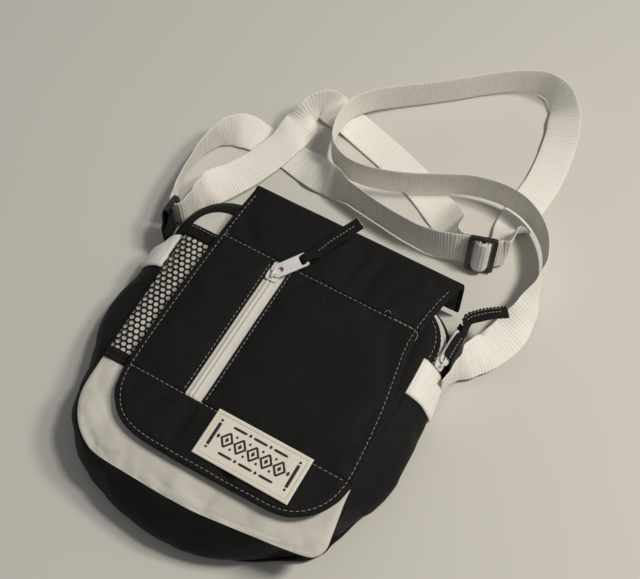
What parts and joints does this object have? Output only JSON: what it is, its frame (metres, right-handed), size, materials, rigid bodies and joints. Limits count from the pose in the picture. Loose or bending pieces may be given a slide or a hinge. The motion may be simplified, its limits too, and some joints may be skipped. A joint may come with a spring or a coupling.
{
  "type": "shoulder bag",
  "caption": "Small black and white cloth shoulder bag lying on its back: hinged front flap with a zip pocket and patch, mesh pocket, zip top, webbing strap.",
  "frame": {"origin": "on the plane the bag's back rests on, behind the middle of the body", "axes": "+Z out of the bag's front, +Y towards its carrying edge, +X to the right when the front is faced with the carrying edge up"},
  "size_m": [0.273, 0.4342, 0.0639],
  "materials": {
    "black_cloth": "matte black polyester cloth",
    "white_cloth": "brushed off-white cloth",
    "white_webbing": "ribbed off-white webbing",
    "zip_tape": "white woven zip tape",
    "zip_coil": "white moulded coil",
    "black_mesh": "open hexagonal knit",
    "cream_patch": "cream embroidered patch",
    "black_plastic": "satin black moulded plastic",
    "white_enamel": "white enamelled die casting"
  },
  "bodies": {
    "bag": {"back_panel": "black_cloth", "front_panel": "white_cloth", "gusset_lower": "black_cloth", "gusset_upper_back": "black_cloth", "gusset_upper_left": "black_cloth", "zip_welt": "black_cloth", "main_zip_tape_front": "zip_tape", "main_zip_tape_back": "zip_tape", "main_zip_coil_front": "zip_coil", "main_zip_coil_back": "zip_coil", "webbing_band_left": "white_webbing", "webbing_band_right": "white_webbing", "pocket_mesh": "black_mesh", "pocket_hem": "black_cloth", "pocket_binding": "black_cloth", "flap_spine": "black_cloth", "ring_tab": "black_cloth", "strap_webbing": "white_webbing", "strap_adjuster": "black_plastic"},
    "flap": {"flap_lining": "black_cloth", "flap_edge": "black_cloth", "flap_panel_top": "black_cloth", "flap_panel_left": "black_cloth", "flap_panel_right": "black_cloth", "flap_panel_bottom": "black_cloth", "flap_zip_tape_left": "zip_tape", "flap_zip_tape_right": "zip_tape", "flap_zip_coil_left": "zip_coil", "flap_zip_coil_right": "zip_coil", "label_patch": "cream_patch"},
    "flap_slider": {"flap_zip_slider": "white_enamel"},
    "flap_puller": {"flap_zip_puller": "white_enamel"},
    "flap_pull": {"flap_zip_pull": "black_cloth"},
    "main_slider": {"main_zip_slider": "white_enamel"},
    "main_puller": {"main_zip_puller": "white_enamel"},
    "main_pull": {"main_zip_pull": "black_cloth"},
    "ring": {"strap_ring": "black_plastic"}
  },
  "joints": [
    {"name": "flap_fold", "type": "hinge", "parent": "bag", "child": "flap", "pos_m": [0, 0.1115, 0.043], "axis": [-1, 0, 0], "range_deg": [0, 130]},
    {"name": "flap_zip_travel", "type": "slide", "parent": "flap", "child": "flap_slider", "axis": [0, -1, 0], "range_m": [0, 0.086]},
    {"name": "flap_puller_tilt", "type": "hinge", "parent": "flap_slider", "child": "flap_puller", "pos_m": [-0.0225, 0.058, 0.0495], "axis": [0.788, -0.6157, 0], "range_deg": [0, 70]},
    {"name": "flap_pull_swing", "type": "hinge", "parent": "flap_puller", "child": "flap_pull", "pos_m": [-0.00903, 0.07525, 0.05258], "axis": [0.788, -0.6157, 0], "range_deg": [0, 50]},
    {"name": "main_zip_travel", "type": "hinge", "parent": "bag", "child": "main_slider", "pos_m": [0.06251, 0.064, 0.028], "axis": [0, 0, 1], "range_deg": [0, 60]},
    {"name": "main_puller_tilt", "type": "hinge", "parent": "main_slider", "child": "main_puller", "pos_m": [0.09752, 0.06424, 0.03021], "axis": [0.5767, 0.0125, -0.8168], "range_deg": [0, 15]},
    {"name": "main_pull_swing", "type": "hinge", "parent": "main_puller", "child": "main_pull", "pos_m": [0.0983, 0.08631, 0.0311], "axis": [0.5767, 0.0125, -0.8168], "range_deg": [0, 10]},
    {"name": "ring_swing", "type": "hinge", "parent": "bag", "child": "ring", "pos_m": [-0.118, 0.0735, 0.0165], "axis": [0, 0, 1], "range_deg": [-7, 7]}
  ]
}
